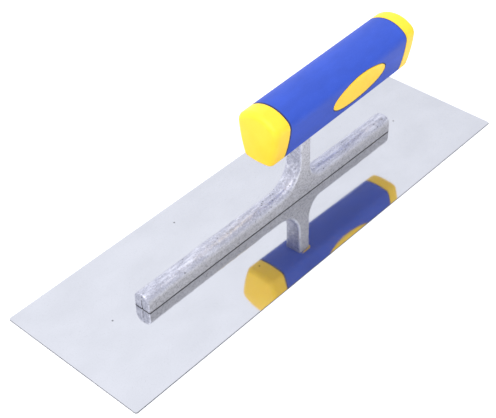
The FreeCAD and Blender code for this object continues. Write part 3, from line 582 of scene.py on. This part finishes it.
def grip_mesh():
    """The sleeve: rings along its length, closed at both ends, with the side windows let in.

    Each end's lip is drawn in by half a millimetre at its edge, and by less and less over 0.6 mm.
    """
    lip = np.array([0.0, 0.1, 0.22, 0.4, 0.6, 0.8, 1.0])
    past_lip = 1.3
    x_front = np.linspace(GRIP_FRONT + past_lip, WINDOW_FROM, 50)
    x_rear = np.linspace(WINDOW_TO, GRIP_REAR - past_lip, 24)
    x_middle = np.linspace(WINDOW_FROM, WINDOW_TO, WINDOW_STEPS + 1)
    x = np.concatenate([GRIP_FRONT + lip, x_front, x_middle[1:-1], x_rear, GRIP_REAR - lip[::-1]])
    inset = SKIN_GAP + np.interp(np.minimum(x - GRIP_FRONT, GRIP_REAR - x), [0, 0.1, 0.22, 0.6], [0.5, 0.26, 0.1, 0])
    rings = handle_rings(x, inset)
    ends = [shrink(rings[0], [0, 0.5], [0, 0]), shrink(rings[-1], [0.5, 0], [0, 0])]
    skin = np.concatenate([ends[0], rings, ends[1]])
    rows, columns = skin.shape[:2]
    faces = np.array(grid_faces(rows, columns, closed=True))
    # drop the quads of both sides between the window's limits; the window meshes fill them
    row, column = faces[:, 0] // columns, faces[:, 0] % columns
    middle_x = skin[:, 0, 0][row]
    inside = (middle_x > WINDOW_FROM - 0.01) & (middle_x < WINDOW_TO - 0.01) & (row > 1) & (row < rows - 3)
    sides, crown = len(SIDE_SHARES) - 1, CROWN_STEPS
    on_side = (column < sides) | ((column >= sides + crown) & (column < 2 * sides + crown))
    faces = faces[~(inside & on_side)].tolist()
    vertices = [skin.reshape(-1, 3)]
    from_end = np.minimum(vertices[0][:, 0] - GRIP_FRONT, GRIP_REAR - vertices[0][:, 0])
    # painted shade at each end: full within GROOVE of the end, fading out over GROOVE_FADE
    joint = [np.clip((GROOVE + GROOVE_FADE - from_end) / GROOVE_FADE, 0, 1)]
    for side in (-1, 1):
        points, window_rows, window_columns, in_groove = window_mesh(side)
        faces += grid_faces(window_rows, window_columns, True, sum(len(v) for v in vertices))
        vertices.append(points)
        joint.append(in_groove)
    return np.concatenate(vertices), faces, np.concatenate(joint)


def moulded_rubber():
    """Thermoplastic rubber, moulded in an eroded tool: strong blue, matt, with a fine pebbled grain
    that breaks up the highlights, slightly paler where it is dusty, and with painted shade in its joints."""
    material, tree, shader, place = start_material("matt_blue_thermoplastic_rubber", ior=1.5)
    # the eroded grain is 0.1 mm on the real grip, drawn at 0.45 mm so that it shows
    grain = add_node(tree, "ShaderNodeTexNoise", {"Vector": place, "Scale": 1 / (0.45 * MM)})
    long = add_node(tree, "ShaderNodeMapping", {"Vector": place, "Scale": (1 / 2.2, 1, 1)})
    cloud = add_node(tree, "ShaderNodeTexNoise", {
        "Vector": long, "Scale": 1 / (9 * MM), "Detail": 4, "Roughness": 0.6})
    tone = add_node(tree, "ShaderNodeMapRange", {"Value": cloud, "From Min": 0.35, "From Max": 0.7})
    dusty = add_node(tree, "ShaderNodeMapRange", {
        "Value": grain, "From Min": 0.58, "From Max": 0.8, "To Max": 0.22})
    # painted shade: the grooves at the caps and pads, with a margin beside them, are painted dark blue
    groove = add_node(tree, "ShaderNodeAttribute", out="Fac", attribute_name="joint")
    groove = add_node(tree, "ShaderNodeMapRange", {"Value": groove, "To Max": 0.92})
    colour = add_node(tree, "ShaderNodeMix", {
        0: tone, 6: linear("#1A42AA"), 7: linear("#2048B5")}, 2, data_type="RGBA")
    for amount, tint in ((dusty, "#5F7AD6"), (groove, "#0E1840")):
        colour = add_node(tree, "ShaderNodeMix", {
            0: amount, 6: colour, 7: linear(tint)}, 2, data_type="RGBA")
    rough = add_node(tree, "ShaderNodeMapRange", {
        "Value": grain, "From Min": 0.3, "From Max": 0.7, "To Min": 0.5, "To Max": 0.66})
    normal = add_node(tree, "ShaderNodeBump", {"Height": grain, "Strength": 0.5, "Distance": 0.035 * MM})
    wire(tree, shader, base_color=colour, roughness=rough, normal=normal)
    return material


grip_points, grip_faces, grip_groove_shade = grip_mesh()
make_piece("grip_sleeve", grip_points, grip_faces, moulded_rubber(), "blue_rubber", "handle_grip", joint=grip_groove_shade)


# ------------------------------------------------------------------ core
# The core is hard polypropylene. It shows as an oval pad in each window of the grip, flush with
# the rubber, and as a collar that the post goes through on the underside.
def moulded_polypropylene():
    """Injection-moulded polypropylene: warm opaque yellow with a soft, waxy gloss, a very fine
    grain, and faint clouding where the melt cooled unevenly."""
    material, tree, shader, place = start_material(
        "satin_yellow_polypropylene", ior=1.49, subsurface_weight=0.12, subsurface_scale=1.2 * MM)
    shader.inputs["Subsurface Radius"].default_value = (1.0, 0.6, 0.15)
    shader.inputs["Specular IOR Level"].default_value = 0.35
    # the tool's grain is 0.08 mm on the real part, drawn at 0.4 mm so that it shows
    grain = add_node(tree, "ShaderNodeTexNoise", {"Vector": place, "Scale": 1 / (0.4 * MM)})
    cloud = add_node(tree, "ShaderNodeTexNoise", {"Vector": place, "Scale": 1 / (11 * MM), "Detail": 3})
    tone = add_node(tree, "ShaderNodeMapRange", {"Value": cloud, "From Min": 0.35, "From Max": 0.65})
    colour = add_node(tree, "ShaderNodeMix", {
        0: tone, 6: linear("#FBCA25"), 7: linear("#FDD030")}, 2, data_type="RGBA")
    rough = add_node(tree, "ShaderNodeMapRange", {
        "Value": grain, "From Min": 0.3, "From Max": 0.7, "To Min": 0.34, "To Max": 0.46})
    normal = add_node(tree, "ShaderNodeBump", {"Height": grain, "Strength": 0.35, "Distance": 0.02 * MM})
    wire(tree, shader, base_color=colour, roughness=rough, normal=normal)
    return material


core_plastic = moulded_polypropylene()
PAD_GAP, PAD_RIM, PAD_THICK = 0.16, 0.4, 1.3
COLLAR_WALL, COLLAR_LOW, COLLAR_HIGH, COLLAR_ROUND, COLLAR_BORE = 1.0, 46.6, 50.0, 0.3, 0.1


def pad_mesh(side):
    """A thin lens that fills one window: rings from its middle to its rounded rim on the outer
    face, and back to the middle on the inner face."""
    t = np.linspace(0, 2 * np.pi, 181)[:-1]
    q = np.radians(np.linspace(0, 90, 6))
    rings = []
    rim_x, rim_z = pad_outline(t, -PAD_GAP - PAD_RIM)
    for share in np.linspace(0, 1, 16):
        x, z = PAD_X + (rim_x - PAD_X) * share, PAD_Z + (rim_z - PAD_Z) * share
        rings.append(np.stack([x, side * side_reach(x, z, SKIN_GAP), z], -1))
    for turn in q[1:]:
        x, z = pad_outline(t, -PAD_GAP - PAD_RIM * (1 - math.sin(turn)))
        drop = PAD_RIM * (1 - math.cos(turn))
        rings.append(np.stack([x, side * (side_reach(x, z, SKIN_GAP) - drop), z], -1))
    for share in np.linspace(1, 0, 8):
        inner_x, inner_z = PAD_X + (x - PAD_X) * share, PAD_Z + (z - PAD_Z) * share
        inner_y = side * (side_reach(inner_x, inner_z, SKIN_GAP) - PAD_THICK)
        rings.append(np.stack([inner_x, inner_y, inner_z], -1))
    grid = np.array(rings)
    return grid.reshape(-1, 3), grid_faces(len(grid), len(t), closed=True)


for hand, side in (("left", 1), ("right", -1)):
    make_piece(f"core_pad_{hand}", *pad_mesh(side), core_plastic, "yellow_plastic", "handle_core")


def collar_mesh():
    """The collar: a wall profile with rounded lower edges, carried round the post's rounded rectangle.

    The path is the rectangle's outline at growth g: each corner is a quarter circle of radius
    POST_ROUND + g about its centre.
    """
    q = np.radians(np.linspace(0, 90, 6))
    short, long = COLLAR_ROUND * (1 - np.cos(q)), COLLAR_ROUND * (1 - np.sin(q))
    profile = np.concatenate([
        [(COLLAR_WALL, COLLAR_HIGH)], np.stack([COLLAR_WALL - short, COLLAR_LOW + long], 1),
        np.stack([COLLAR_BORE + long, COLLAR_LOW + short], 1), [(COLLAR_BORE, COLLAR_HIGH)]])
    corner = np.radians(np.arange(0, 91, 9))
    turns = np.concatenate([corner + math.pi / 2 * i for i in range(4)])
    sign_x = np.repeat([1, -1, -1, 1], len(corner))
    sign_y = np.repeat([1, 1, -1, -1], len(corner))
    arm_x, arm_y = (POST_REAR - POST_FRONT) / 2 - POST_ROUND, HALF_THICK - POST_ROUND
    grow = (POST_ROUND + profile[:, 0])[:, None]
    x = POST_MIDDLE + sign_x * arm_x + grow * np.cos(turns)
    y = sign_y * arm_y + grow * np.sin(turns)
    z = np.broadcast_to(profile[:, 1][:, None], x.shape)
    grid = np.stack([x, y, z], -1)
    grid = np.concatenate([grid, grid[:1]])
    return grid.reshape(-1, 3), grid_faces(len(grid), grid.shape[1], closed=True)


make_piece("core_collar", *collar_mesh(), core_plastic, "yellow_plastic", "handle_core")

# ------------------------------------------------------------------ caps
# Each end of the handle is a polypropylene cap pressed into the core. Its end is softly domed,
# its rim is well rounded, and its open edge meets the rubber in a fine groove.
CAP_RIM, CAP_DOME = 3.9, 0.6


def cap_mesh(seam, end):
    """One cap between its seam with the grip and the handle's end.

    Over the rim the section is drawn in by rim(1 - cos q) as x nears the end by rim sin q; the end
    face then shrinks to a pole while it rises by dome(1 - share squared).
    """
    out = 1 if end > seam else -1
    lip = np.array([0.0, 0.08, 0.18, 0.35, 0.6])
    lip_inset = np.array([0.5, 0.28, 0.14, 0.04, 0])
    body = np.linspace(0.6, abs(end - seam) - CAP_DOME - CAP_RIM, 16)[1:]
    q = np.radians(np.linspace(0, 90, 16))[1:]
    x = seam + out * np.concatenate([lip, body, body[-1] + CAP_RIM * np.sin(q)])
    inset = SKIN_GAP + np.concatenate([lip_inset, 0 * body, CAP_RIM * (1 - np.cos(q))])
    rings = handle_rings(x, np.minimum(inset, CORNER - 0.04))
    shares = np.linspace(1, 0, 14)[1:]
    face = shrink(rings[-1], shares, out * CAP_DOME * (1 - shares ** 2))
    skin = np.concatenate([shrink(rings[0], [0, 0.5], [0, 0]), rings, face])
    return skin.reshape(-1, 3), grid_faces(skin.shape[0], skin.shape[1], closed=True)


make_piece("front_end_cap", *cap_mesh(GRIP_FRONT, HANDLE_FRONT), core_plastic, "yellow_plastic", "front_cap")
make_piece("rear_end_cap", *cap_mesh(GRIP_REAR, HANDLE_REAR), core_plastic, "yellow_plastic", "rear_cap")


# ------------------------------------------------------------------ handle screw
# A zinc-plated steel screw and washer, hidden in the front bore, pull the core onto the
# casting's tang.
def zinc_plate():
    """Bright zinc plate on steel: cool grey with a faint blue bloom and small dull patches."""
    material, tree, shader, place = start_material("blue_zinc_plated_steel", metallic=1.0)
    bloom = add_node(tree, "ShaderNodeTexNoise", {"Vector": place, "Scale": 1 / (1.8 * MM), "Detail": 3})
    tone = add_node(tree, "ShaderNodeMapRange", {"Value": bloom, "From Min": 0.35, "From Max": 0.65})
    colour = add_node(tree, "ShaderNodeMix", {
        0: tone, 6: linear("#AEB6C2"), 7: linear("#CDD0D2")}, 2, data_type="RGBA")
    rough = add_node(tree, "ShaderNodeMapRange", {
        "Value": bloom, "From Min": 0.3, "From Max": 0.7, "To Min": 0.22, "To Max": 0.38})
    normal = add_node(tree, "ShaderNodeBump", {"Height": bloom, "Strength": 0.4, "Distance": 0.02 * MM})
    wire(tree, shader, base_color=colour, roughness=rough, normal=normal)
    return material


plated = zinc_plate()
for fixing in ("handle_screw", "screw_washer"):
    finish_node(fixing, plated)

# ------------------------------------------------------------------ floor, light and camera
# A white floor under a soft sky, palest overhead and towards +Y, with one broad key light from
# high over the blade's front end, as in a light tent. The floor lies just below the blade.
FLOOR_HALF, FLOOR_DROP = 6.0, 0.15
SKY_STRENGTH, KEY_STRENGTH = 1.55, 1.7
floor_mesh = bpy.data.meshes.new("floor")
floor_mesh.from_pydata([(-FLOOR_HALF, -FLOOR_HALF, 0), (FLOOR_HALF, -FLOOR_HALF, 0),
                        (FLOOR_HALF, FLOOR_HALF, 0), (-FLOOR_HALF, FLOOR_HALF, 0)], [], [(0, 1, 2, 3)])
floor = bpy.data.objects.new("floor", floor_mesh)
floor.location.z = -FLOOR_DROP * MM
bpy.context.scene.collection.objects.link(floor)
paper, paper_tree, paper_shader, paper_place = start_material("white_paper_sweep", roughness=0.9)
paper_tone = add_node(paper_tree, "ShaderNodeTexNoise", {"Vector": paper_place, "Scale": 1 / (40 * MM)})
paper_colour = add_node(paper_tree, "ShaderNodeMix", {
    0: paper_tone, 6: linear("#F6F6F8"), 7: linear("#FAFAFB")}, 2, data_type="RGBA")
wire(paper_tree, paper_shader, base_color=paper_colour)
floor_mesh.materials.append(paper)

scene = bpy.context.scene
world = bpy.data.worlds.new("light_tent")
world.use_nodes = True
sky = world.node_tree
ray = add_node(sky, "ShaderNodeTexCoord", out="Generated")
ray_y = add_node(sky, "ShaderNodeSeparateXYZ", {"Vector": ray}, "Y")
ray_z = add_node(sky, "ShaderNodeSeparateXYZ", {"Vector": ray}, "Z")
lean = add_node(sky, "ShaderNodeMath", {0: ray_z, 1: 0.9}, operation="MULTIPLY")
lean = add_node(sky, "ShaderNodeMath", {0: ray_y, 1: 0.5, 2: lean}, operation="MULTIPLY_ADD")
lean = add_node(sky, "ShaderNodeMapRange", {"Value": lean, "From Min": -0.5})
tone = add_node(sky, "ShaderNodeMix", {
    0: lean, 6: linear("#A4A5AD"), 7: linear("#EEF0F8")}, 2, data_type="RGBA")
sky.links.new(tone, sky.nodes["Background"].inputs["Color"])
sky.nodes["Background"].inputs["Strength"].default_value = SKY_STRENGTH
scene.world = world

key = bpy.data.objects.new("key", bpy.data.lights.new("key", "SUN"))
key.data.energy = KEY_STRENGTH
key.data.angle = math.radians(55)
key.data.color = (1.0, 0.99, 0.97)
key.rotation_mode = "QUATERNION"
key.rotation_quaternion = Vector((0.6, 0.16, -1.0)).to_track_quat("-Z", "Y")
scene.collection.objects.link(key)

camera = bpy.data.objects.new("camera", bpy.data.cameras.new("camera"))
AZIMUTH, ELEVATION, ROLL = np.radians([-46.96, 40.77, -1.56])
back = Vector((math.sin(AZIMUTH) * math.cos(ELEVATION), -math.cos(AZIMUTH) * math.cos(ELEVATION),
               math.sin(ELEVATION)))
right = Vector((math.cos(AZIMUTH), math.sin(AZIMUTH), 0))
up = back.cross(right)
tilted_right = right * math.cos(ROLL) + up * math.sin(ROLL)
tilted_up = up * math.cos(ROLL) - right * math.sin(ROLL)
pose = Matrix((tilted_right, tilted_up, back)).transposed().to_4x4()
pose.translation = Vector((-0.4002, -0.3525, 0.4660))
camera.matrix_world = pose
camera.data.lens = 85.75
camera.data.sensor_width = 36
camera.data.shift_x, camera.data.shift_y = 0.0075, -0.0071
camera.data.clip_start, camera.data.clip_end = 0.05, 50
scene.collection.objects.link(camera)
scene.camera = camera
scene.view_settings.view_transform = "Standard"
